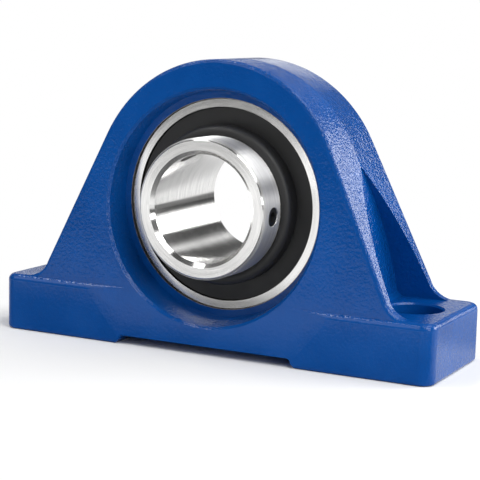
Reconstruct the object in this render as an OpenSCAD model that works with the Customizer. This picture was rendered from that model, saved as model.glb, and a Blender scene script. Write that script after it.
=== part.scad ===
// Pillow block bearing: a cast housing on two feet that carries a self-aligning insert bearing.
// Millimetres, +Z up, the shaft along Y, the set screw side towards -Y.
// The origin lies on the base plane, midway between the bolt holes, under the centre of the bearing.

/* [Base] */
// Overall length of the base
base_l = 156; // [152:1:176]
// Depth of the base along the shaft
base_d = 46; // [44:0.5:50]
// Height of the feet
foot_h = 19; // [17:0.5:21]
// Plan radius of the base's corners
foot_corner_r = 4.6; // [4.5:0.1:8]
// Rounding of the feet's top edges
foot_edge_r = 2.2; // [1:0.1:2.2]
// Rounding of the base's bottom edges
sole_edge_r = 1.2; // [0.5:0.1:2]
// Length of the relief under the middle of the base
relief_l = 63; // [40:1:80]
// Height of the relief
relief_h = 3; // [2:0.25:4]
// Rounding of the relief's corners
relief_r = 1.4; // [0.5:0.1:1.8]
// Distance from each end of the base to the axis of its bolt hole
bolt_end = 14.5; // [12:0.1:15.5]
// Diameter of the bolt holes
bolt_hole_d = 18; // [14:0.5:20]
// Chamfer at the bolt holes' rims
bolt_rim = 0.6; // [0.2:0.1:1]

/* [Body] */
// Height of the shaft's centre above the base plane
shaft_h = 47.8; // [47:0.1:52]
// Radius of the dome
dome_r = 44.5; // [43.5:0.1:48]
// Rise of the dome's centre above the shaft's centre
dome_up = 2.5; // [1:0.1:4]
// Lean of the flanks from the vertical, in degrees
flank_lean = 25.4; // [23:0.2:27]
// Lean of the front and rear faces from the vertical, in degrees
face_draft = 4.1; // [3.5:0.1:6]
// Rounding along the edges of the dome and the flanks
body_edge_r = 2; // [1.2:0.1:3]
// Hollow rounding where a flank runs out on its foot
toe_r = 9; // [6:0.25:10]
// Length of each face, either side of the middle, that is flush with the base's front
flush_l = 30; // [20:1:34]
// Length over which the ledge above each foot fades into the face
fade_l = 16; // [8:1:20]

/* [Bolt pockets] */
// Width of a pocket at its floor
pocket_w = 35.5; // [30:0.5:36.5]
// Height of a pocket from its floor to its point
pocket_rise = 43.5; // [36:0.5:46]
// Distance from the bolt's axis to the pocket's end wall at the floor
pocket_reach = 12.4; // [11:0.2:15]
// Depth of the pocket's arc centres below its floor
pocket_arc_drop = 4; // [1:0.5:8]
// Rounding between the end wall and the floor
pocket_floor_r = 3; // [1:0.25:5]

/* [Bearing mouth] */
// Radial width of the ledge round the seat
ledge_w = 2.4; // [1:0.1:3]
// Distance from the outer ring's face to the ledge
ledge_gap = 0.9; // [0.5:0.1:2]
// Taper of the mouth's wall, in degrees
mouth_taper = 8; // [6:0.5:14]
// Chamfer at the mouth's front edge
mouth_rim = 0.8; // [0.5:0.1:1.2]

/* [Rings] */
// Diameter of the bore
bore_d = 35; // [30:0.5:36]
// Diameter of the outer ring's spherical outside
ring_od = 72; // [71:0.1:74]
// Width of the outer ring
outer_w = 19.6; // [18.5:0.1:21]
// Outside diameter of the inner ring
inner_od = 45.4; // [45:0.1:46]
// Reach of the inner ring in front of the bearing's centre
inner_front = 25.6; // [23:0.1:27]
// Reach of the inner ring behind the bearing's centre
inner_rear = 17.4; // [15:0.1:19]
// Chamfer at both ends of the bore
bore_chamfer = 1.2; // [0.5:0.1:1.5]
// Chamfer at the inner ring's outside edges
inner_chamfer = 0.8; // [0.3:0.1:1.2]
// Chamfer at the outer ring's face edges
outer_chamfer = 0.4; // [0.2:0.1:0.6]
// Width of the outer ring's face outside the seal's seat
outer_face_w = 2.9; // [2:0.1:3.1]
// Depth of the shoulder that each seal sits against
seal_step = 1.6; // [1.2:0.1:2]

/* [Balls and cage] */
// Number of balls
ball_n = 9; // [7:1:9]
// Diameter of a ball
ball_d = 11.1; // [10.8:0.1:11.2]
// Diameter of the circle through the balls' centres
pitch_d = 53.5; // [53.2:0.1:54]
// Race groove radius as a share of the ball's diameter
race_share = 0.52; // [0.515:0.005:0.53]
// Thickness of the cage's sheet
cage_t = 0.75; // [0.5:0.05:0.8]
// Radial width of the cage's band
cage_w = 4; // [3:0.1:4.4]
// Diameter of a rivet's shank
rivet_d = 1.5; // [1:0.1:2]
// Diameter of a rivet's head
rivet_head_d = 2.6; // [2.2:0.1:3]
// Height of a rivet's head
rivet_head_h = 0.6; // [0.4:0.1:0.8]

/* [Seals and slingers] */
// Thickness of a seal's web
seal_t = 0.7; // [0.5:0.05:0.8]
// Thickness of a seal's rim in its seat
seal_rim_t = 1.3; // [1.1:0.1:1.5]
// Thickness of a slinger's disc
slinger_t = 1.2; // [0.8:0.1:1.4]
// Height of a slinger's collar in front of its disc
collar_h = 6; // [4.5:0.1:6.2]
// Radial width of a slinger's collar
collar_w = 3.2; // [2.4:0.1:4]
// Rounding of the collar's outside edge
collar_r = 2; // [1:0.1:2.2]
// Chamfer inside the collar, round the inner ring
collar_chamfer = 0.9; // [0.4:0.1:1.2]

/* [Set screws] */
// Diameter of a set screw
screw_d = 6; // [5:0.5:8]
// Distance from the inner ring's front face to the screws' axes
screw_inset = 6.2; // [5.8:0.1:6.6]
// Angle of the first screw round the shaft, from +X, in degrees
screw_turn = -3; // [-10:1:10]
// Angle between the two screws, in degrees
screw_spread = 120; // [60:1:130]
// Width across the flats of a screw's hex socket
socket_af = 3; // [2:0.5:4]
// Depth of a screw's hex socket
socket_depth = 2.4; // [1.5:0.1:3]
// Set back of both ends of a screw from the bore and from the ring's outside
screw_shy = 0.3; // [0.2:0.05:0.6]

/* [Fits] */
// Radial clearance of the outer ring in its spherical seat
seat_clear = 0.03; // [0.02:0.01:0.06]
// Radial clearance of a ball in its races
race_clear = 0.02; // [0.02:0.01:0.05]
// Clearance round a ball in the cage
cage_clear = 0.12; // [0.08:0.01:0.2]
// Radial clearance of pieces that are pressed or screwed together
press_clear = 0.05; // [0.04:0.01:0.08]
// Running gap of the seals and slingers
run_gap = 0.3; // [0.25:0.05:0.4]
// Clearance round the outer ring in the rear loading slots
slot_clear = 0.4; // [0.2:0.1:0.8]

/* [Hidden] */
$fn = 96;

casting_blue = "#1d4f9e";
ground_steel = "#c9c9c6";
bright_steel = "#dcdcda";
rubber_black = "#1b1b1c";
screw_black = "#2b2b2d";
cage_steel = "#8f8f8c";

// Length by which a cutting shape runs past the face that it cuts
over = 2;
// Depth by which a rounding crosses the faces beside it, so that no two surfaces merely touch
bite = 0.1;

bolt_x = base_l / 2 - bolt_end;
dome_z = shaft_h + dome_up;
tangent_x = dome_r * cos(flank_lean);
tangent_z = dome_z + dome_r * sin(flank_lean);
body_z = foot_h / 2;
toe_run = toe_r * tan((90 - flank_lean) / 2);
toe_z = foot_h + toe_r - bite;
toe_x = flank_x(foot_h) + toe_run;
ring_r = ring_od / 2;
seat_r = ring_r + seat_clear;
ledge_y = outer_w / 2 + ledge_gap;
ledge_r = sqrt(seat_r * seat_r - ledge_y * ledge_y) + ledge_w;
pocket_point = foot_h + pocket_rise;
wall_x = bolt_x - pocket_reach;
bore_r = bore_d / 2;
inner_r = inner_od / 2;
ball_r = ball_d / 2;
pitch_r = pitch_d / 2;
race_r = race_share * ball_d;
cup_r = ball_r + cage_clear + cage_t;
seal_seat_r = sqrt(ring_r * ring_r - pow(outer_w / 2, 2)) - outer_face_w;
land_r = seal_seat_r - seal_step;
seal_z = cup_r + run_gap;
seal_face_z = seal_z + seal_t;
seal_rim_z = seal_face_z - seal_rim_t;
disc_z = seal_face_z + run_gap;
slinger_r = seal_seat_r - run_gap;
slinger_bore_r = inner_r + press_clear;
collar_top_z = disc_z + slinger_t + collar_h;
screw_r = screw_d / 2;
screw_y = inner_front - screw_inset;
screw_tip = bore_r + screw_shy;
screw_top = inner_r - screw_shy;

// Half length of the body at a height, along the straight flanks
function flank_x(z) = tangent_x + (tangent_z - z) * tan(flank_lean);

// Height along a leaning face of a point at a height above the base plane
function up_face(z) = z / cos(face_draft);

// Half depth of the body at a height
function half_depth(z) = base_d / 2 - z * tan(face_draft);

// Places children on the shaft's axis: their +Z points to the front and their origin is the bearing's centre
module on_shaft() {
    translate([0, 0, shaft_h])
        rotate([90, 0, 0])
            children();
}

// Places children on the leaning front face: X along the base, Y up the face, Z out of the face
module on_face() {
    translate([0, -base_d / 2, 0])
        rotate([90 - face_draft, 0, 0])
            children();
}

// Copies children from the front to the rear
module both_faces() {
    children();
    mirror([0, 1, 0])
        children();
}

// Copies children from the right to the left
module both_sides() {
    children();
    mirror([1, 0, 0])
        children();
}

// Section of the base's rim: as wide as the corner radius, rounded outside at the top and the bottom
module rim_section() {
    top = foot_h - foot_edge_r;
    polygon([
        [0, 0], [foot_corner_r - sole_edge_r, 0], [foot_corner_r, sole_edge_r], [foot_corner_r, top],
        [foot_corner_r - foot_edge_r, foot_h], [0, foot_h]
    ]);
    translate([foot_corner_r - foot_edge_r, top])
        circle(foot_edge_r);
    translate([foot_corner_r - sole_edge_r, sole_edge_r])
        circle(sole_edge_r);
}

// Base slab with the feet: a core, four rounded sides and four rounded corners
module base_slab() {
    core = [base_l - 2 * foot_corner_r, base_d - 2 * foot_corner_r];
    translate([-core[0] / 2, -core[1] / 2, 0])
        cube([core[0], core[1], foot_h]);
    for (turn = [0:3]) {
        out = core[turn % 2] / 2;
        side = core[(turn + 1) % 2];
        rotate(90 * turn)
            translate([out, side / 2, 0]) {
                rotate([90, 0, 0])
                    linear_extrude(side)
                        rim_section();
                rotate_extrude(angle = 90)
                    rim_section();
            }
    }
}

// Front view of the body: dome, straight flanks and the hollow run-out on each foot
module body_outline() {
    run_x = flank_x(foot_h) - toe_run * sin(flank_lean);
    run_z = foot_h + toe_run * cos(flank_lean);
    difference() {
        union() {
            translate([0, dome_z])
                circle(dome_r);
            polygon([
                [-toe_x, body_z], [toe_x, body_z], [toe_x, foot_h], [run_x, run_z], [tangent_x, tangent_z],
                [-tangent_x, tangent_z], [-run_x, run_z], [-toe_x, foot_h]
            ]);
        }
        both_sides()
            translate([toe_x, toe_z])
                circle(toe_r);
    }
}

// Side view of the body: both faces lean in from the base's edges
module body_side() {
    top = dome_z + dome_r + over;
    polygon([
        [-half_depth(0), 0], [half_depth(0), 0], [half_depth(top), top], [-half_depth(top), top]
    ]);
}

// Section of what a rounding takes off along an edge: the edge at the origin, the body at -X and -Y
module edge_waste() {
    inside = body_edge_r - bite;
    difference() {
        translate([-inside, -inside])
            square(inside + over);
        translate([-inside, -inside])
            circle(body_edge_r);
    }
}

// What the rounding takes off along one face: over the dome, down the flanks and out along the toes
module face_edge_waste() {
    lean = atan(tan(flank_lean) * cos(face_draft));
    centre_z = up_face(dome_z + dome_r) - dome_r;
    toe_face_z = up_face(toe_z);
    // Length of the straight edge from the end of the dome to the start of the hollow toe
    flank_l = (centre_z + dome_r * sin(lean) - toe_face_z + toe_r * sin(lean)) / cos(lean);
    translate([0, centre_z, 0])
        rotate(lean)
            rotate_extrude(angle = 180 - 2 * lean)
                translate([dome_r, 0])
                    edge_waste();
    both_sides()
        translate([0, centre_z, 0])
            rotate(lean)
                translate([dome_r, 0, 0])
                    rotate([90, 0, 0])
                        linear_extrude(flank_l)
                            edge_waste();
    both_sides()
        translate([toe_x, toe_face_z, 0])
            rotate(180 + lean)
                rotate_extrude(angle = 90 - lean)
                    translate([toe_r, 0])
                        mirror([1, 0])
                            edge_waste();
}

// Dome and flanks with their rounded edges
module body() {
    difference() {
        intersection() {
            rotate([90, 0, 0])
                linear_extrude(base_d, center = true)
                    body_outline();
            rotate([90, 0, 90])
                linear_extrude(base_l, center = true)
                    body_side();
        }
        both_faces()
            on_face()
                translate([0, body_edge_r * tan(face_draft), 0])
                    face_edge_waste();
    }
}

// What lies in front of the leaning face in the middle, where the ledge above the feet fades out
module ledge_fade() {
    ledge = foot_h * sin(face_draft);
    reach = flush_l + fade_l * over / ledge;
    length = up_face(foot_h + over);
    on_face()
        translate([0, length, 0])
            rotate([90, 0, 0])
                linear_extrude(length)
                    polygon([[-flush_l, 0], [flush_l, 0], [reach, over], [-reach, over]]);
}

// Front view of the right pocket: a flat floor, a leaning end wall and the rounding between them
module pocket_outline() {
    outside = base_l / 2 + 2 * over;
    point_x = flank_x(pocket_point) - bite;
    lean = atan((wall_x - point_x) / pocket_rise);
    round_x = wall_x + pocket_floor_r * tan(45 - lean / 2) - bite;
    round_z = foot_h + pocket_floor_r - bite;
    difference() {
        polygon([
            [wall_x, foot_h], [outside, foot_h], [outside, pocket_point + over],
            [point_x - over * tan(lean), pocket_point + over]
        ]);
        difference() {
            translate([wall_x - over, foot_h - over])
                square([round_x - wall_x + over, round_z - foot_h + over]);
            translate([round_x, round_z])
                circle(pocket_floor_r);
        }
    }
}

// Pointed pocket above the right bolt hole: two arcs meet at its point
module bolt_pocket() {
    rise = pow(pocket_rise, 2) + 2 * pocket_rise * pocket_arc_drop;
    arc_side = (rise - pow(pocket_w / 2, 2)) / pocket_w;
    arc_r = norm([pocket_w / 2 + arc_side, pocket_arc_drop]);
    intersection() {
        translate([0, 0, foot_h])
            rotate([90, 0, 90])
                linear_extrude(base_l / 2 + over)
                    intersection() {
                        translate([-arc_side, -pocket_arc_drop])
                            circle(arc_r);
                        translate([arc_side, -pocket_arc_drop])
                            circle(arc_r);
                        translate([-pocket_w, -over])
                            square([2 * pocket_w, 2 * pocket_rise]);
                    }
        rotate([90, 0, 0])
            linear_extrude(2 * pocket_w, center = true)
                pocket_outline();
    }
}

// Right bolt hole with a small chamfer at its top rim
module bolt_hole() {
    hole_r = bolt_hole_d / 2;
    translate([bolt_x, 0, 0]) {
        translate([0, 0, -over])
            cylinder(h = foot_h + 2 * over, r = hole_r);
        translate([0, 0, foot_h - bolt_rim])
            cylinder(h = bolt_rim + bite, r1 = hole_r, r2 = hole_r + bolt_rim + bite);
    }
}

// Relief under the middle of the base, with rounded inner corners and flared ends
module sole_relief() {
    half = relief_l / 2;
    flat = relief_h - relief_r;
    rotate([90, 0, 0])
        linear_extrude(base_d + 2 * over, center = true) {
            both_sides() {
                polygon([
                    [0, -over], [half + relief_r + over, -over], [half, flat],
                    [half - relief_r, relief_h], [0, relief_h]
                ]);
                translate([half - relief_r, flat])
                    circle(relief_r);
            }
        }
}

// Opening for the insert: a spherical seat, a ledge and a tapered mouth on each side
module bearing_opening() {
    mouth_l = base_d / 2 + over - ledge_y;
    on_shaft() {
        sphere(seat_r);
        for (face = [0, 180])
            rotate([face, 0, 0])
                translate([0, 0, ledge_y])
                    cylinder(h = mouth_l, r1 = ledge_r, r2 = ledge_r + mouth_l * tan(mouth_taper));
    }
    both_faces()
        on_face()
            mouth_chamfer();
}

// Chamfer round the mouth, square to the leaning face
module mouth_chamfer() {
    mouth_r = ledge_r + (half_depth(shaft_h) - ledge_y) * tan(mouth_taper);
    drop = mouth_r * tan(face_draft) * tan(mouth_taper);
    translate([0, up_face(shaft_h) - drop, -2 * mouth_rim])
        cylinder(h = 3 * mouth_rim, r1 = mouth_r - mouth_rim, r2 = mouth_r + 2 * mouth_rim);
}

// Slots at the rear through which the outer ring goes in edgewise before it is swung square
module loading_slots() {
    slot_l = ring_od + 2 * slot_clear;
    slot_h = outer_w + 2 * slot_clear;
    translate([-slot_l / 2, 0, shaft_h - slot_h / 2])
        cube([slot_l, base_d, slot_h]);
}

module housing() {
    color(casting_blue)
        difference() {
            union() {
                difference() {
                    base_slab();
                    both_faces()
                        ledge_fade();
                }
                body();
            }
            both_sides() {
                bolt_pocket();
                bolt_hole();
            }
            sole_relief();
            bearing_opening();
            loading_slots();
        }
}

module outer_ring() {
    half = outer_w / 2;
    face_r = sqrt(ring_r * ring_r - half * half);
    color(ground_steel)
        on_shaft()
            rotate_extrude()
                difference() {
                    intersection() {
                        circle(ring_r);
                        polygon([
                            [land_r, -half], [face_r - outer_chamfer, -half], [face_r + over, outer_chamfer + over - half],
                            [face_r + over, half - outer_chamfer - over], [face_r - outer_chamfer, half], [land_r, half]
                        ]);
                    }
                    translate([pitch_r + ball_r + race_clear - race_r, 0])
                        circle(race_r);
                    for (side = [seal_rim_z, -half - over])
                        translate([land_r - over, side])
                            square([seal_step + over, half + over - seal_rim_z]);
                }
}

// Radial hole for one set screw, with a countersink at the ring's outside
module screw_hole() {
    hole_r = screw_r + press_clear;
    cylinder(h = inner_r + over, r = hole_r);
    translate([0, 0, inner_r - screw_shy])
        cylinder(h = over, r1 = hole_r, r2 = hole_r + over);
}

// Places children on the axis of set screw 1 or 2: their +Z points outwards from the shaft
module on_screw(which) {
    on_shaft()
        translate([0, 0, screw_y])
            rotate(screw_turn + (which - 1) * screw_spread)
                rotate([0, 90, 0])
                    children();
}

module inner_ring() {
    color(bright_steel)
        difference() {
            on_shaft()
                rotate_extrude()
                    difference() {
                        polygon([
                            [bore_r, bore_chamfer - inner_rear], [bore_r + bore_chamfer, -inner_rear],
                            [inner_r - inner_chamfer, -inner_rear], [inner_r, inner_chamfer - inner_rear],
                            [inner_r, inner_front - inner_chamfer], [inner_r - inner_chamfer, inner_front],
                            [bore_r + bore_chamfer, inner_front], [bore_r, inner_front - bore_chamfer]
                        ]);
                        translate([pitch_r - ball_r - race_clear + race_r, 0])
                            circle(race_r);
                    }
            for (which = [1, 2])
                on_screw(which)
                    screw_hole();
        }
}

// Seal of the front side: a rim in the outer ring's seat and a web with its lip near the inner ring
module seal() {
    rim_r = seal_seat_r - press_clear;
    color(rubber_black)
        on_shaft()
            rotate_extrude()
                polygon([
                    [inner_r + run_gap, seal_z], [land_r - run_gap, seal_z], [land_r + press_clear, seal_rim_z],
                    [rim_r, seal_rim_z], [rim_r, seal_face_z], [inner_r + run_gap, seal_face_z]
                ]);
}

// Slinger of the front side: a flat disc in front of the seal and a rounded collar on the inner ring
module slinger() {
    disc_top = disc_z + slinger_t;
    collar_out = slinger_bore_r + collar_w;
    color(rubber_black)
        on_shaft()
            rotate_extrude() {
                polygon([
                    [slinger_bore_r, disc_z], [slinger_r, disc_z], [slinger_r, disc_top], [collar_out, disc_top],
                    [collar_out, collar_top_z - collar_r], [collar_out - collar_r, collar_top_z],
                    [slinger_bore_r + collar_chamfer, collar_top_z],
                    [slinger_bore_r, collar_top_z - collar_chamfer]
                ]);
                translate([collar_out - collar_r, collar_top_z - collar_r])
                    circle(collar_r);
            }
}

module front_seal() {
    seal();
}

module rear_seal() {
    mirror([0, 1, 0])
        seal();
}

module front_slinger() {
    slinger();
}

module rear_slinger() {
    mirror([0, 1, 0])
        slinger();
}

// Places children at each ball's centre, or midway between the balls
module round_pitch(share = 0) {
    for (i = [0:ball_n - 1])
        rotate(360 * (i + share) / ball_n)
            translate([pitch_r, 0, 0])
                children();
}

module cage_band() {
    difference() {
        cylinder(h = cup_r, r = pitch_r + cage_w / 2);
        translate([0, 0, -over])
            cylinder(h = cup_r + 2 * over, r = pitch_r - cage_w / 2);
    }
}

// Front half of the cage: a flat band with a cup over each ball and a hole for each rivet
module cage_half() {
    color(cage_steel)
        on_shaft()
            difference() {
                intersection() {
                    cage_band();
                    union() {
                        cylinder(h = cage_t, r = pitch_r + cage_w);
                        round_pitch()
                            sphere(cup_r);
                    }
                }
                round_pitch()
                    sphere(ball_r + cage_clear);
                round_pitch(0.5)
                    translate([0, 0, -over])
                        cylinder(h = cage_t + 2 * over, d = rivet_d + 2 * press_clear);
            }
}

module cage_front() {
    cage_half();
}

module cage_rear() {
    mirror([0, 1, 0])
        cage_half();
}

module rivet_head() {
    translate([0, 0, cage_t])
        cylinder(h = rivet_head_h, d1 = rivet_head_d, d2 = rivet_d);
}

module cage_rivets() {
    color(cage_steel)
        on_shaft()
            round_pitch(0.5) {
                cylinder(h = 2 * cage_t, d = rivet_d, center = true);
                rivet_head();
                mirror([0, 0, 1])
                    rivet_head();
            }
}

module ball(which) {
    color(bright_steel)
        on_shaft()
            rotate(360 * (which - 1) / ball_n)
                translate([pitch_r, 0, 0])
                    sphere(ball_r);
}

// Set screw with a hex socket at its outer end and a chamfered point
module set_screw(which) {
    length = screw_top - screw_tip;
    socket_r = socket_af / 2 / cos(30);
    point = screw_r / 3;
    color(screw_black)
        on_screw(which)
            translate([0, 0, screw_tip])
                difference() {
                    union() {
                        cylinder(h = point, r1 = screw_r - point, r2 = screw_r);
                        translate([0, 0, point])
                            cylinder(h = length - point, r = screw_r);
                    }
                    translate([0, 0, length - socket_depth])
                        cylinder(h = socket_depth + over, r = socket_r, $fn = 6);
                }
}

module set_screw_1() {
    set_screw(1);
}

module set_screw_2() {
    set_screw(2);
}

housing();
outer_ring();
inner_ring();
front_seal();
rear_seal();
front_slinger();
rear_slinger();
cage_front();
cage_rear();
cage_rivets();
set_screw_1();
set_screw_2();
for (i = [1:ball_n])
    ball(i);
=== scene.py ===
"""Looks of a pillow block bearing: painted casting, turned steel rings, black slingers and screws."""
import logging
import math
from dataclasses import dataclass, field
from enum import Enum
from functools import reduce

import bpy
from mathutils import Matrix, Vector


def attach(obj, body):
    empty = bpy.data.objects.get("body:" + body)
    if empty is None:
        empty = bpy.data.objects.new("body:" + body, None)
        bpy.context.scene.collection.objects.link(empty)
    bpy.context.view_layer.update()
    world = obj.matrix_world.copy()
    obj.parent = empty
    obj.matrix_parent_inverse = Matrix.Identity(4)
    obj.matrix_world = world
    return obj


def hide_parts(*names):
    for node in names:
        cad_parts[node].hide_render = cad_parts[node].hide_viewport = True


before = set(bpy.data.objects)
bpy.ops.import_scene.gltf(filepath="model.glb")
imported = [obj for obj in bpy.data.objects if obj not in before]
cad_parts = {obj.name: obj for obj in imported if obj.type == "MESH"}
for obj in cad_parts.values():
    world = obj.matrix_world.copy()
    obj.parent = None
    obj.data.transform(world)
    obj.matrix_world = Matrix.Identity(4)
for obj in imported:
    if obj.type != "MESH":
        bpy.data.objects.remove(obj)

logging.basicConfig(level=logging.INFO, format="%(message)s")
log = logging.getLogger("pillow_block")

MM = 0.001
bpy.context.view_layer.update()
SHAFT_Z = 47.8 * MM

Colour = tuple[float, float, float]
Socket = bpy.types.NodeSocket
WHITE: Colour = (1.0, 1.0, 1.0)


class Slot(Enum):
    """The record's material slots."""

    CASTING = "casting"
    RING_STEEL = "ring_steel"
    BALL = "ball"
    RUBBER = "rubber"
    SLINGER = "slinger"
    CAGE = "cage"
    SCREW = "screw"


@dataclass(frozen=True)
class Ramp:
    """A smooth step of a value: to_low up to low, to_high from high on."""

    low: float
    high: float
    to_low: float = 0.0
    to_high: float = 1.0


@dataclass(frozen=True)
class Band:
    """A stretch of a value with soft ends: a level inside it and 0 outside it."""

    rise_from: float
    rise_to: float
    fall_from: float
    fall_to: float
    level: float = 1.0


class Graph:
    """A shader node tree with short calls that add nodes and join them."""

    def __init__(self, tree: bpy.types.NodeTree) -> None:
        """Takes the tree that the calls work on."""
        self.tree = tree

    def node(self, kind: str, **settings: object) -> bpy.types.Node:
        """Adds a node.

        Args:
            kind: Blender's name of the node's type.
            settings: properties of the node, by name.

        Returns:
            The new node.
        """
        node = self.tree.nodes.new(kind)
        for name, value in settings.items():
            setattr(node, name, value)
        return node

    def feed(self, target: Socket, value: object) -> None:
        """Links a socket to a target, or sets the target's own value.

        Args:
            target: the input to feed.
            value: a socket or a plain value.
        """
        if isinstance(value, bpy.types.NodeSocket):
            self.tree.links.new(value, target)
        else:
            target.default_value = value

    def math(self, operation: str, *values: object) -> Socket:
        """Adds a Math node.

        Args:
            operation: the node's operation.
            values: sockets or numbers for its inputs.

        Returns:
            The node's result.
        """
        node = self.node("ShaderNodeMath", operation=operation)
        for target, value in zip(node.inputs, values):
            self.feed(target, value)
        return node.outputs[0]

    def fold(self, operation: str, *values: object) -> Socket:
        """Joins any number of sockets and numbers by one Math operation, in their order."""
        return reduce(lambda first, second: self.math(operation, first, second), values)

    def length(self, *parts: Socket) -> Socket:
        """Gives the length of a vector from its parts."""
        squares = [self.math("MULTIPLY", part, part) for part in parts]
        return self.math("SQRT", self.fold("ADD", *squares))

    def ramp(self, value: Socket, step: Ramp) -> Socket:
        """Maps a value by a smooth step.

        Args:
            value: the value to map.
            step: the step.

        Returns:
            The mapped value.
        """
        node = self.node("ShaderNodeMapRange", interpolation_type="SMOOTHSTEP")
        numbers = (step.low, step.high, step.to_low, step.to_high)
        for name, number in zip(("From Min", "From Max", "To Min", "To Max"), numbers):
            node.inputs[name].default_value = number
        self.feed(node.inputs["Value"], value)
        return node.outputs["Result"]

    def band(self, value: Socket, band: Band) -> Socket:
        """Marks where a value lies within a band.

        Args:
            value: the value.
            band: the band.

        Returns:
            A mask, the band's level inside and 0 outside.
        """
        rise = self.ramp(value, Ramp(band.rise_from, band.rise_to))
        fall = self.ramp(value, Ramp(band.fall_from, band.fall_to, band.level, 0.0))
        return self.math("MULTIPLY", rise, fall)

    def blend(self, share: object, first: object, second: object) -> Socket:
        """Mixes two colours.

        Args:
            share: the second colour's share.
            first: a colour or a socket.
            second: a colour or a socket.

        Returns:
            The mixed colour.
        """
        node = self.node("ShaderNodeMix", data_type="RGBA")
        for index, value in ((0, share), (6, first), (7, second)):
            self.feed(node.inputs[index], value)
        return node.outputs[2]

    def noise(self, vector: Socket, scale: object, detail: float = 2.0, rough: float = 0.5,
              **settings: object) -> Socket:
        """Adds a noise pattern.

        Args:
            vector: where the pattern is read.
            scale: its scale, per metre of the vector.
            detail: how many finer layers it has.
            rough: how strong the finer layers are.
            settings: more properties of the node, by name.

        Returns:
            The pattern's value.
        """
        node = self.node("ShaderNodeTexNoise", **settings)
        self.feed(node.inputs["Vector"], vector)
        for name, value in (("Scale", scale), ("Detail", detail), ("Roughness", rough)):
            self.feed(node.inputs[name], value)
        return node.outputs["Fac"]

    def place(self) -> Socket:
        """Gives the place on the piece, in its own metres."""
        return self.node("ShaderNodeTexCoord").outputs["Object"]

    def split(self, vector: Socket) -> tuple[Socket, ...]:
        """Splits a vector.

        Args:
            vector: the vector.

        Returns:
            Its three parts.
        """
        node = self.node("ShaderNodeSeparateXYZ")
        self.feed(node.inputs[0], vector)
        return tuple(node.outputs)

    def join(self, x: object = 0.0, y: object = 0.0, z: object = 0.0) -> Socket:
        """Joins three parts to a vector.

        Args:
            x: the first part.
            y: the second part.
            z: the third part.

        Returns:
            The vector.
        """
        node = self.node("ShaderNodeCombineXYZ")
        for target, value in zip(node.inputs, (x, y, z)):
            self.feed(target, value)
        return node.outputs[0]

    def vector(self, operation: str, *values: Socket) -> Socket:
        """Adds a Vector Math node.

        Args:
            operation: the node's operation.
            values: vectors for its inputs.

        Returns:
            The node's vector.
        """
        node = self.node("ShaderNodeVectorMath", operation=operation)
        for target, value in zip(node.inputs, values):
            self.feed(target, value)
        return node.outputs[0]

    def to_world(self, direction: Socket) -> Socket:
        """Turns a direction with the piece.

        Args:
            direction: the direction in the piece's own axes.

        Returns:
            The direction in the world.
        """
        node = self.node("ShaderNodeVectorTransform", vector_type="VECTOR", convert_from="OBJECT",
                         convert_to="WORLD")
        self.feed(node.inputs[0], direction)
        return node.outputs[0]

    def bump(self, height: Socket, distance: float, normal: Socket | None = None) -> Socket:
        """Adds a Bump node.

        Args:
            height: the height, from 0 to 1.
            distance: what a height of 1 stands for, in metres.
            normal: the normal that it works on, if it isn't the surface's own.

        Returns:
            The node's normal.
        """
        node = self.node("ShaderNodeBump")
        node.inputs["Distance"].default_value = distance
        self.feed(node.inputs["Height"], height)
        if normal is not None:
            self.feed(node.inputs["Normal"], normal)
        return node.outputs["Normal"]


def rgba(colour: Colour) -> tuple[float, float, float, float]:
    """Adds full opacity to a colour."""
    return (*colour, 1.0)


def new_material(name: str) -> tuple[bpy.types.Material, Graph, bpy.types.Node]:
    """Starts a material.

    Args:
        name: the material's name.

    Returns:
        The material, its graph and its output node.
    """
    material = bpy.data.materials.new(name)
    material.use_nodes = True
    material.node_tree.nodes.clear()
    graph = Graph(material.node_tree)
    return material, graph, graph.node("ShaderNodeOutputMaterial")


def new_group(name: str, number: str, usual: float,
              outputs: tuple[str, ...]) -> tuple[Graph, bpy.types.Node, bpy.types.Node]:
    """Starts a shader node group that reads a place and a number and puts out values.

    Args:
        name: the group's name.
        number: the number input's name.
        usual: its usual value.
        outputs: names of the values that it puts out.

    Returns:
        The group's graph, its input node and its output node.
    """
    tree = bpy.data.node_groups.new(name, "ShaderNodeTree")
    tree.interface.new_socket("Place", in_out="INPUT", socket_type="NodeSocketVector")
    socket = tree.interface.new_socket(number, in_out="INPUT", socket_type="NodeSocketFloat")
    socket.default_value = usual
    for label in outputs:
        tree.interface.new_socket(label, in_out="OUTPUT", socket_type="NodeSocketFloat")
    graph = Graph(tree)
    return graph, graph.node("NodeGroupInput"), graph.node("NodeGroupOutput")


def make_turning_marks(mark_turns: float = 2.0, patch_lines: float = 900.0,
                       patch_turns: float = 1.3) -> bpy.types.NodeTree:
    """Makes the group for lathe and grinding marks round the shaft's axis.

    Args:
        mark_turns: how fast a line changes round the axis.
        patch_lines: how fast the broad patches change across the lines, per metre.
        patch_turns: how fast they change round the axis.

    Returns:
        The group: Mark is the height of the lines, Patch a broad change along them.
    """
    graph, given, out = new_group("turning_marks", "Lines", 6000.0, ("Mark", "Patch"))
    across, along, up = graph.split(given.outputs["Place"])
    height = graph.math("SUBTRACT", up, SHAFT_Z)
    turn = graph.math("ARCTAN2", height, across)
    line = graph.math("ADD", graph.length(across, height), along)
    fine = graph.join(graph.math("MULTIPLY", line, given.outputs["Lines"]),
                      graph.math("MULTIPLY", turn, mark_turns))
    mark = graph.noise(fine, 1.0, detail=3.0, rough=0.6, noise_dimensions="2D")
    graph.feed(out.inputs["Mark"], mark)
    broad = graph.join(graph.math("MULTIPLY", line, patch_lines),
                       graph.math("MULTIPLY", turn, patch_turns))
    graph.feed(out.inputs["Patch"], graph.noise(broad, 1.0, noise_dimensions="2D"))
    return graph.tree


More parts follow.
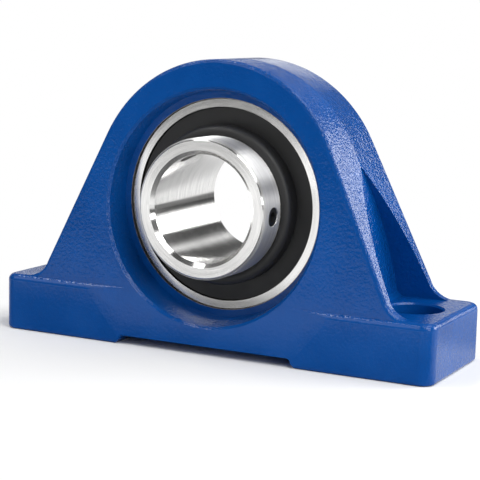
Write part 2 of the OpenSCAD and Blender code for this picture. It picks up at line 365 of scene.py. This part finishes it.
def make_handling(dust_scale: float = 1500.0, specks: Ramp = Ramp(0.70, 0.78)) -> bpy.types.NodeTree:
    """Makes the group for faint smears and dust that handling leaves.

    Args:
        dust_scale: the scale of the specks, per metre.
        specks: the step from no dust to a speck.

    Returns:
        The group: Smear is a broad value and Dust a mask of fine specks.
    """
    graph, given, out = new_group("handling", "Smear Scale", 60.0, ("Smear", "Dust"))
    place = given.outputs["Place"]
    graph.feed(out.inputs["Smear"], graph.noise(place, given.outputs["Smear Scale"], detail=4.0))
    graph.feed(out.inputs["Dust"], graph.ramp(graph.noise(place, dust_scale), specks))
    return graph.tree


TURNING_MARKS = make_turning_marks()
HANDLING = make_handling()


class Finish:
    """A finish: a named material that is made once from its own values."""

    name: str

    def start(self) -> tuple[bpy.types.Material, Graph, bpy.types.Node]:
        """Starts the material.

        Returns:
            The material, its graph and its Principled shader.
        """
        material, graph, end = new_material(self.name)
        shader = graph.node("ShaderNodeBsdfPrincipled")
        graph.feed(end.inputs["Surface"], shader.outputs[0])
        return material, graph, shader

    @staticmethod
    def group(graph: Graph, tree: bpy.types.NodeTree, place: Socket, number: float) -> dict[str, Socket]:
        """Places a node group in a material.

        Args:
            graph: the material's graph.
            tree: the group.
            place: the place that the group reads.
            number: its number for this material.

        Returns:
            The group's outputs by name.
        """
        node = graph.node("ShaderNodeGroup", node_tree=tree)
        for target, value in zip(node.inputs, (place, number)):
            graph.feed(target, value)
        return {socket.name: socket for socket in node.outputs}


@dataclass(frozen=True)
class PaintFinish(Finish):
    """Gloss paint over sand-cast iron, with bare iron where the casting was machined."""

    name: str = "blue_gloss_paint"
    colour: Colour = (0.001, 0.061, 0.276)
    pale: Colour = (0.0015, 0.073, 0.319)
    iron: Colour = (0.30, 0.29, 0.28)
    specular: float = 0.34
    smear_scale: float = 45.0
    smear_tint: Ramp = Ramp(0.35, 0.7)
    smear_rough: Ramp = Ramp(0.3, 0.7, 0.08, 0.18)
    bare_rough: float = 0.15
    grain_scale: float = 1050.0
    grain_rough: float = 0.55
    grain_height: float = 0.38 * MM
    peel_scale: float = 260.0
    peel_detail: float = 1.0
    peel_share: float = 0.35
    coarse_up: Ramp = Ramp(17 * MM, 26 * MM, 0.4, 1.0)
    coarse_facing: Ramp = Ramp(0.6, 0.95, 1.0, 0.32)
    draft: Ramp = Ramp(21 * MM, 25 * MM, 0.0, math.tan(math.radians(6.0)))
    parting: Ramp = Ramp(-0.3 * MM, 0.3 * MM, -1.0, 1.0)
    seat_r: float = 36.2 * MM
    sole_z: float = 0.15 * MM

    def build(self) -> bpy.types.Material:
        """Makes the paint.

        Returns:
            The material.
        """
        material, graph, shader = self.start()
        place = graph.place()
        across, along, up = graph.split(place)
        smear = self.group(graph, HANDLING, place, self.smear_scale)["Smear"]
        bare = self.bare_mask(graph, across, along, up)
        tint = graph.blend(graph.ramp(smear, self.smear_tint), rgba(self.colour), rgba(self.pale))
        graph.feed(shader.inputs["Base Color"], graph.blend(bare, tint, rgba(self.iron)))
        rough = graph.math("ADD", graph.ramp(smear, self.smear_rough),
                           graph.math("MULTIPLY", bare, self.bare_rough))
        graph.feed(shader.inputs["Roughness"], rough)
        graph.feed(shader.inputs["Metallic"], bare)
        shader.inputs["Specular IOR Level"].default_value = self.specular
        cast = self.cast_grain(graph, place, up)
        leaning = self.drafted(graph, along, up)
        graph.feed(shader.inputs["Normal"], graph.bump(cast, self.grain_height, leaning))
        return material

    def cast_grain(self, graph: Graph, place: Socket, up: Socket) -> Socket:
        """Makes the cast grain, which is finer on the feet and on the front and rear faces.

        Args:
            graph: the material's graph.
            place: the place on the casting.
            up: the height.

        Returns:
            The grain's height.
        """
        facing = graph.split(graph.node("ShaderNodeTexCoord").outputs["Normal"])[1]
        coarse = graph.math("MULTIPLY", graph.ramp(up, self.coarse_up),
                            graph.ramp(graph.math("ABSOLUTE", facing), self.coarse_facing))
        grain = graph.noise(place, self.grain_scale, rough=self.grain_rough)
        peel = graph.noise(place, self.peel_scale, self.peel_detail)
        both = graph.math("ADD", grain, graph.math("MULTIPLY", peel, self.peel_share))
        return graph.math("MULTIPLY", both, coarse)

    def drafted(self, graph: Graph, along: Socket, up: Socket) -> Socket:
        """Leans the light on the flanks and the dome to each side of the mould's parting line.

        Args:
            graph: the material's graph.
            along: the place along the shaft.
            up: the height.

        Returns:
            The leaning normal.
        """
        lean = graph.math("MULTIPLY", graph.ramp(up, self.draft), graph.ramp(along, self.parting))
        flat = graph.node("ShaderNodeNewGeometry").outputs["Normal"]
        return graph.vector("NORMALIZE", graph.vector("ADD", flat, graph.to_world(graph.join(y=lean))))

    def bare_mask(self, graph: Graph, across: Socket, along: Socket, up: Socket) -> Socket:
        """Marks the spherical seat and the sole, which are machined bare.

        Args:
            graph: the material's graph.
            across: the place along the base.
            along: the place along the shaft.
            up: the height.

        Returns:
            A mask, 1 where the iron is bare.
        """
        reach = graph.length(across, along, graph.math("SUBTRACT", up, SHAFT_Z))
        seat = graph.math("LESS_THAN", reach, self.seat_r)
        sole = graph.math("LESS_THAN", up, self.sole_z)
        return graph.math("MAXIMUM", seat, sole)


@dataclass(frozen=True)
class TurnedSteelFinish(Finish):
    """Steel that was turned and ground round the shaft's axis, and left duller far from it."""

    name: str
    roughness: float
    dull_roughness: float
    dull_from: float = 22.0 * MM
    dull_fade: float = 0.4 * MM
    colour: Colour = (0.90, 0.895, 0.885)
    worn_share: float = 0.9
    patch_tint: Ramp = Ramp(0.3, 0.7)
    smear_scale: float = 90.0
    smear_rough: Ramp = Ramp(0.4, 0.8, 0.0, 0.03)
    lines: float = 9000.0
    mark_rough: Ramp = Ramp(0.25, 0.75, -0.03, 0.03)
    mark_height: float = 0.002 * MM
    anisotropy: float = 0.95
    quarter_turn: float = 0.25

    def build(self) -> bpy.types.Material:
        """Makes the steel.

        Returns:
            The material.
        """
        material, graph, shader = self.start()
        place = graph.place()
        across, _, up = graph.split(place)
        marks = self.group(graph, TURNING_MARKS, place, self.lines)
        smear = self.group(graph, HANDLING, place, self.smear_scale)["Smear"]
        worn = tuple(self.worn_share * value for value in self.colour)
        patch = graph.ramp(marks["Patch"], self.patch_tint)
        graph.feed(shader.inputs["Base Color"], graph.blend(patch, rgba(worn), rgba(self.colour)))
        shader.inputs["Metallic"].default_value = 1.0
        radius = graph.length(across, graph.math("SUBTRACT", up, SHAFT_Z))
        dull = graph.ramp(radius, Ramp(self.dull_from, self.dull_from + self.dull_fade,
                                       self.roughness, self.dull_roughness))
        rough = graph.fold("ADD", dull, graph.ramp(marks["Mark"], self.mark_rough),
                           graph.ramp(smear, self.smear_rough))
        graph.feed(shader.inputs["Roughness"], rough)
        graph.feed(shader.inputs["Normal"], graph.bump(marks["Mark"], self.mark_height))
        shader.inputs["Anisotropic"].default_value = self.anisotropy
        shader.inputs["Anisotropic Rotation"].default_value = self.quarter_turn
        round_axis = graph.join(x=graph.math("SUBTRACT", SHAFT_Z, up), z=across)
        graph.feed(shader.inputs["Tangent"], graph.to_world(round_axis))
        return material


@dataclass(frozen=True)
class BlackFinish(Finish):
    """Black rubber or black enamel: dark, with a fine grain and faint dust."""

    name: str
    colour: Colour = (0.026, 0.026, 0.026)
    dusty: Colour = (0.030, 0.030, 0.031)
    dust_share: float = 0.5
    roughness: float = 0.48
    rubbed: float = -0.05
    smeared: float = 0.07
    smear_scale: float = 120.0
    smear_from: float = 0.3
    smear_to: float = 0.7
    lines: float = 2500.0
    mark_share: float = 0.6
    grain_scale: float = 2600.0
    grain_height: float = 0.012 * MM

    def build(self) -> bpy.types.Material:
        """Makes the black finish.

        Returns:
            The material.
        """
        material, graph, shader = self.start()
        place = graph.place()
        handling = self.group(graph, HANDLING, place, self.smear_scale)
        mark = self.group(graph, TURNING_MARKS, place, self.lines)["Mark"]
        dust = graph.math("MULTIPLY", handling["Dust"], self.dust_share)
        graph.feed(shader.inputs["Base Color"], graph.blend(dust, rgba(self.colour), rgba(self.dusty)))
        smear = Ramp(self.smear_from, self.smear_to, self.roughness + self.rubbed,
                     self.roughness + self.smeared)
        graph.feed(shader.inputs["Roughness"], graph.ramp(handling["Smear"], smear))
        height = graph.math("ADD", graph.noise(place, self.grain_scale),
                            graph.math("MULTIPLY", mark, self.mark_share))
        graph.feed(shader.inputs["Normal"], graph.bump(height, self.grain_height))
        return material


@dataclass(frozen=True)
class MetalFinish(Finish):
    """Plain metal with a grain that runs no special way: balls, pressed sheet and dark screws."""

    name: str
    colour: Colour
    worn: Colour
    roughness: float
    smeared: float = 0.08
    smear_scale: float = 300.0
    smear_from: float = 0.3
    smear_to: float = 0.7
    wear: Ramp = Ramp(0.45, 0.75)
    grain_scale: float = 1800.0
    grain_height: float = 0.004 * MM

    def build(self) -> bpy.types.Material:
        """Makes the metal.

        Returns:
            The material.
        """
        material, graph, shader = self.start()
        place = graph.place()
        smear = self.group(graph, HANDLING, place, self.smear_scale)["Smear"]
        tint = graph.blend(graph.ramp(smear, self.wear), rgba(self.colour), rgba(self.worn))
        graph.feed(shader.inputs["Base Color"], tint)
        shader.inputs["Metallic"].default_value = 1.0
        rough = Ramp(self.smear_from, self.smear_to, self.roughness, self.roughness + self.smeared)
        graph.feed(shader.inputs["Roughness"], graph.ramp(smear, rough))
        grain = graph.noise(place, self.grain_scale)
        graph.feed(shader.inputs["Normal"], graph.bump(grain, self.grain_height))
        return material


@dataclass
class Assembly:
    """A sub-assembly: CAD nodes that keep their shape and take a finish each."""

    def dress(self, node: str, material: bpy.types.Material, slot: Slot) -> None:
        """Gives a CAD node its finish.

        Args:
            node: the node's name.
            material: the finish.
            slot: the record's slot that the finish stands for; not used.
        """
        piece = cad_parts[node]
        piece.data.materials.clear()
        piece.data.materials.append(material)
        log.info("dressed %s in %s", node, material.name)


@dataclass
class Casting(Assembly):
    """The cast housing, over whose small edges the light runs as over thick paint."""

    paint: PaintFinish = field(default_factory=PaintFinish)
    merge: float = 0.002 * MM
    soft_angle: float = 22.0
    face_weight: int = 95

    def build(self) -> None:
        """Models the painted casting on the CAD housing and dresses it."""
        casting = self.soften("housing", "painted_casting")
        casting.data.materials.clear()
        casting.data.materials.append(self.paint.build())
        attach(casting, "housing")
        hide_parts("housing")
        log.info("modelled %s", casting.name)

    def soften(self, node: str, name: str) -> bpy.types.Object:
        """Copies a CAD node, joins its faces and lets the light run smoothly over its small edges.

        Args:
            node: the node's name.
            name: the new piece's name.

        Returns:
            The new piece.
        """
        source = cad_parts[node]
        piece = bpy.data.objects.new(name, source.data.copy())
        piece.data.transform(source.matrix_world)
        bpy.context.scene.collection.objects.link(piece)
        bpy.ops.object.select_all(action="DESELECT")
        piece.select_set(True)
        bpy.context.view_layer.objects.active = piece
        bpy.ops.mesh.customdata_custom_splitnormals_clear()
        bpy.ops.object.mode_set(mode="EDIT")
        bpy.ops.mesh.select_all(action="SELECT")
        bpy.ops.mesh.remove_doubles(threshold=self.merge)
        bpy.ops.object.mode_set(mode="OBJECT")
        bpy.ops.object.shade_smooth_by_angle(angle=math.radians(self.soft_angle))
        even = piece.modifiers.new("even_faces", "WEIGHTED_NORMAL")
        even.keep_sharp = True
        even.weight = self.face_weight
        bpy.ops.object.modifier_apply(modifier=even.name)
        return piece


@dataclass
class Rings(Assembly):
    """The turned rings, the seals in the outer ring and the slingers on the inner ring."""

    outer: TurnedSteelFinish = TurnedSteelFinish("outer_ring_steel", 0.12, 0.12)
    inner: TurnedSteelFinish = TurnedSteelFinish("inner_ring_steel", 0.17, 0.52)
    rubber: BlackFinish = BlackFinish("seal_rubber", roughness=0.6)
    enamel: BlackFinish = BlackFinish("slinger_black")

    def build(self) -> None:
        """Dresses the rings, seals and slingers."""
        self.dress("outer_ring", self.outer.build(), Slot.RING_STEEL)
        self.dress("inner_ring", self.inner.build(), Slot.RING_STEEL)
        rubber = self.rubber.build()
        enamel = self.enamel.build()
        for side in ("front", "rear"):
            self.dress(f"{side}_seal", rubber, Slot.RUBBER)
            self.dress(f"{side}_slinger", enamel, Slot.SLINGER)


@dataclass
class BallTrain(Assembly):
    """The balls and the riveted cage between the rings."""

    count: int = 9
    chrome: MetalFinish = MetalFinish("ball_chrome", (0.82, 0.82, 0.83), (0.74, 0.74, 0.76), 0.06)
    sheet: MetalFinish = MetalFinish("cage_sheet", (0.52, 0.51, 0.49), (0.40, 0.39, 0.38), 0.34)

    def build(self) -> None:
        """Dresses the balls and the cage."""
        chrome = self.chrome.build()
        sheet = self.sheet.build()
        for index in range(1, self.count + 1):
            self.dress(f"ball_{index}", chrome, Slot.BALL)
        for node in ("cage_front", "cage_rear", "cage_rivets"):
            self.dress(node, sheet, Slot.CAGE)


@dataclass
class SetScrews(Assembly):
    """The two blackened set screws."""

    oxide: MetalFinish = MetalFinish("screw_black_oxide", (0.090, 0.090, 0.094),
                                     (0.150, 0.146, 0.142), 0.5)

    def build(self) -> None:
        """Dresses the screws."""
        oxide = self.oxide.build()
        for node in ("set_screw_1", "set_screw_2"):
            self.dress(node, oxide, Slot.SCREW)


@dataclass(frozen=True)
class Softbox:
    """A studio lamp with a soft rectangular front."""

    name: str
    place: tuple[float, float, float]
    size: tuple[float, float]
    level: float

    def build(self, aim: Vector) -> None:
        """Hangs the lamp and turns it to a point.

        Args:
            aim: the point that it faces.
        """
        lamp = bpy.data.lights.new(self.name, "AREA")
        lamp.shape = "RECTANGLE"
        lamp.size, lamp.size_y = self.size
        lamp.energy = self.level * math.pi * self.size[0] * self.size[1]
        holder = bpy.data.objects.new(self.name, lamp)
        bpy.context.scene.collection.objects.link(holder)
        holder.location = self.place
        holder.rotation_euler = (aim - Vector(self.place)).to_track_quat("-Z", "Y").to_euler()


@dataclass
class Studio:
    """A white sweep under softboxes, with cards on the floor and lit walls that the part mirrors.

    The floor's ramps and bands are in metres, across (x) and along (y). The walls' are parts of a
    direction of length 1.
    """

    aim: Vector = field(default_factory=lambda: Vector((0.0, 0.0, SHAFT_Z)))
    floor_half: float = 3.0
    floor_white: Colour = (0.90, 0.90, 0.90)
    glow_reach: Ramp = Ramp(0.10, 0.18)
    card_grey: Colour = (0.12, 0.12, 0.12)
    far_card: Ramp = Ramp(-0.72, -0.62, 1.0, 0.0)
    near_card: Band = Band(-0.115, -0.085, -0.03, -0.01)
    near_gap: Band = Band(0.02, 0.05, 0.10, 0.14, 0.6)
    far_gap: Ramp = Ramp(0.26, 0.34)
    reflector_across: Band = Band(-0.32, -0.28, -0.19, -0.14)
    reflector_along: Band = Band(-0.66, -0.60, -0.50, -0.40)
    room_level: float = 0.08
    wall_along: Ramp = Ramp(0.0, 0.45)
    wall_foot: Ramp = Ramp(0.04, 0.08)
    wall_fade: Ramp = Ramp(0.17, 0.22, 1.3, 0.9)
    wall_left_top: Ramp = Ramp(-0.24, -0.14, 0.26, -0.1)
    wall_right_top: Ramp = Ramp(0.33, 0.40, 0.0, 0.34)
    wall_edge: Ramp = Ramp(-0.08, 0.0, 1.0, 0.0)
    screen_along: Ramp = Ramp(-0.60, -0.35, 0.25, 0.0)
    screen_up: Band = Band(0.14, 0.24, 0.45, 0.65)
    panel_along: Ramp = Ramp(0.2, 0.4)
    panel_foot: Ramp = Ramp(0.30, 0.36)
    panel_slope: Band = Band(-0.14, -0.06, 0.12, 0.24)
    slope_up_min: float = 0.05
    boxes: tuple[Softbox, ...] = (
        Softbox("top_softbox", (0.38, 0.0, 0.81), (0.9, 0.32), 4.4),
        Softbox("front_softbox", (-0.55, -0.75, 0.80), (0.8, 0.6), 1.6),
        Softbox("edge_softbox", (0.66, -0.45, 0.68), (0.60, 0.22), 7.0),
        Softbox("left_softbox", (-0.46, -0.12, 0.86), (0.6, 0.12), 13.0),
        Softbox("side_softbox", (0.72, 0.70, 0.37), (0.72, 0.36), 8.5),
        Softbox("low_softbox", (0.88, -0.45, 0.19), (0.50, 0.09), 11.0),
    )

    def build(self) -> None:
        """Lays the floor, lights the world and hangs the lamps."""
        self.lay_floor()
        self.light_world()
        for box in self.boxes:
            box.build(self.aim)
        log.info("lit the studio with %d softboxes", len(self.boxes))

    def lay_floor(self) -> None:
        """Lays the pale floor that takes the shadow."""
        bpy.ops.object.select_all(action="DESELECT")
        bpy.ops.mesh.primitive_plane_add(size=2 * self.floor_half, location=(0.0, 0.0, 0.0))
        floor = bpy.context.object
        floor.name = "floor"
        floor.data.materials.append(self.sweep())

    def sweep(self) -> bpy.types.Material:
        """Makes the floor: white to the camera, with dim cards and a reflector in the mirrored one.

        Returns:
            The material.
        """
        material, graph, end = new_material("white_sweep")
        across, along, _ = graph.split(graph.place())
        paths = graph.node("ShaderNodeLightPath").outputs
        seen, mirrored = paths["Is Camera Ray"], paths["Is Glossy Ray"]
        cards = graph.fold("MAXIMUM", graph.ramp(along, self.far_card),
                           graph.band(along, self.near_card), graph.band(along, self.near_gap),
                           graph.ramp(along, self.far_gap))
        dim = graph.math("MULTIPLY", cards, mirrored)
        cloth = graph.node("ShaderNodeBsdfDiffuse")
        graph.feed(cloth.inputs["Color"],
                   graph.blend(dim, rgba(self.floor_white), rgba(self.card_grey)))
        glow = graph.node("ShaderNodeEmission")
        graph.feed(glow.inputs["Color"], rgba(WHITE))
        reflector = graph.math("MULTIPLY", graph.band(across, self.reflector_across),
                               graph.band(along, self.reflector_along))
        graph.feed(glow.inputs["Strength"], graph.math("ADD", 1.0, reflector))
        shown = graph.math("SUBTRACT", graph.math("MAXIMUM", seen, mirrored), dim)
        reach = graph.ramp(graph.length(across, along), self.glow_reach)
        mix = graph.node("ShaderNodeMixShader")
        layers = (graph.math("MULTIPLY", reach, shown), cloth.outputs[0], glow.outputs[0])
        for target, value in zip(mix.inputs, layers):
            graph.feed(target, value)
        graph.feed(end.inputs["Surface"], mix.outputs[0])
        return material

    def light_world(self) -> None:
        """Makes the world: white to the camera, and for all else a dim room with lit walls."""
        world = bpy.data.worlds.new("studio")
        bpy.context.scene.world = world
        world.use_nodes = True
        world.node_tree.nodes.clear()
        graph = Graph(world.node_tree)
        view = graph.split(graph.node("ShaderNodeTexCoord").outputs["Generated"])
        level = graph.fold("MAXIMUM", self.wall(graph, *view), self.screen(graph, *view),
                           self.panel(graph, *view), self.room_level)
        light = graph.node("ShaderNodeBackground")
        graph.feed(light.inputs["Color"], rgba(WHITE))
        seen = graph.node("ShaderNodeLightPath").outputs["Is Camera Ray"]
        graph.feed(light.inputs["Strength"], graph.math("MAXIMUM", level, seen))
        end = graph.node("ShaderNodeOutputWorld")
        graph.feed(end.inputs["Surface"], light.outputs[0])

    def wall(self, graph: Graph, across: Socket, along: Socket, up: Socket) -> Socket:
        """Makes the low wall behind the part, which is higher at both ends.

        Args:
            graph: the world's graph.
            across: the direction's part along the base.
            along: its part along the shaft.
            up: its part upwards.

        Returns:
            The wall's level.
        """
        top = graph.math("ADD", graph.ramp(across, self.wall_left_top),
                         graph.ramp(across, self.wall_right_top))
        edge = graph.ramp(graph.math("SUBTRACT", up, top), self.wall_edge)
        return graph.fold("MULTIPLY", graph.ramp(along, self.wall_along),
                          graph.ramp(up, self.wall_foot), graph.ramp(up, self.wall_fade), edge)

    def screen(self, graph: Graph, _: Socket, along: Socket, up: Socket) -> Socket:
        """Makes the dim screen in front of the part, from its directions along the shaft and up."""
        return graph.math("MULTIPLY", graph.ramp(along, self.screen_along),
                          graph.band(up, self.screen_up))

    def panel(self, graph: Graph, across: Socket, along: Socket, up: Socket) -> Socket:
        """Makes the upright panel behind the part, which the bore's lower wall mirrors.

        Args:
            graph: the world's graph.
            across: the direction's part along the base.
            along: its part along the shaft.
            up: its part upwards.

        Returns:
            The panel's level.
        """
        slope = graph.math("DIVIDE", across, graph.math("MAXIMUM", up, self.slope_up_min))
        return graph.fold("MULTIPLY", graph.band(slope, self.panel_slope),
                          graph.ramp(along, self.panel_along), graph.ramp(up, self.panel_foot))


@dataclass(frozen=True)
class PhotoCamera:
    """The camera, at the photograph's angle and distance."""

    azimuth: float = 27.0
    elevation: float = 8.81
    roll: float = 1.43
    target: tuple[float, float, float] = (1.25 * MM, 0.0, 34.97 * MM)
    distance: float = 489.62 * MM
    focal_px: float = 1474.87
    frame_px: float = 480.0
    sensor_mm: float = 36.0
    clip_start: float = 10 * MM

    def build(self) -> None:
        """Makes the camera and hands it to the scene."""
        turn = math.radians(self.azimuth)
        rise = math.radians(self.elevation)
        lean = math.radians(self.roll)
        back = Vector((math.sin(turn) * math.cos(rise), -math.cos(turn) * math.cos(rise),
                       math.sin(rise)))
        level = Vector((math.cos(turn), math.sin(turn), 0.0))
        above = back.cross(level)
        right = level * math.cos(lean) + above * math.sin(lean)
        upward = above * math.cos(lean) - level * math.sin(lean)
        lens = bpy.data.cameras.new("photo_camera")
        lens.sensor_width = self.sensor_mm
        lens.lens = self.focal_px * self.sensor_mm / self.frame_px
        lens.clip_start = self.clip_start
        camera = bpy.data.objects.new("photo_camera", lens)
        bpy.context.scene.collection.objects.link(camera)
        turned = Matrix((right, upward, back)).transposed().to_4x4()
        camera.matrix_world = Matrix.Translation(Vector(self.target) + back * self.distance) @ turned
        bpy.context.scene.camera = camera


def main() -> None:
    """Makes the camera, then dresses the sub-assemblies and builds the studio round them."""
    bpy.context.scene.view_settings.view_transform = "Standard"
    PhotoCamera().build()
    for assembly in (Casting(), Rings(), BallTrain(), SetScrews()):
        assembly.build()
    Studio().build()


if __name__ == "__main__":
    main()
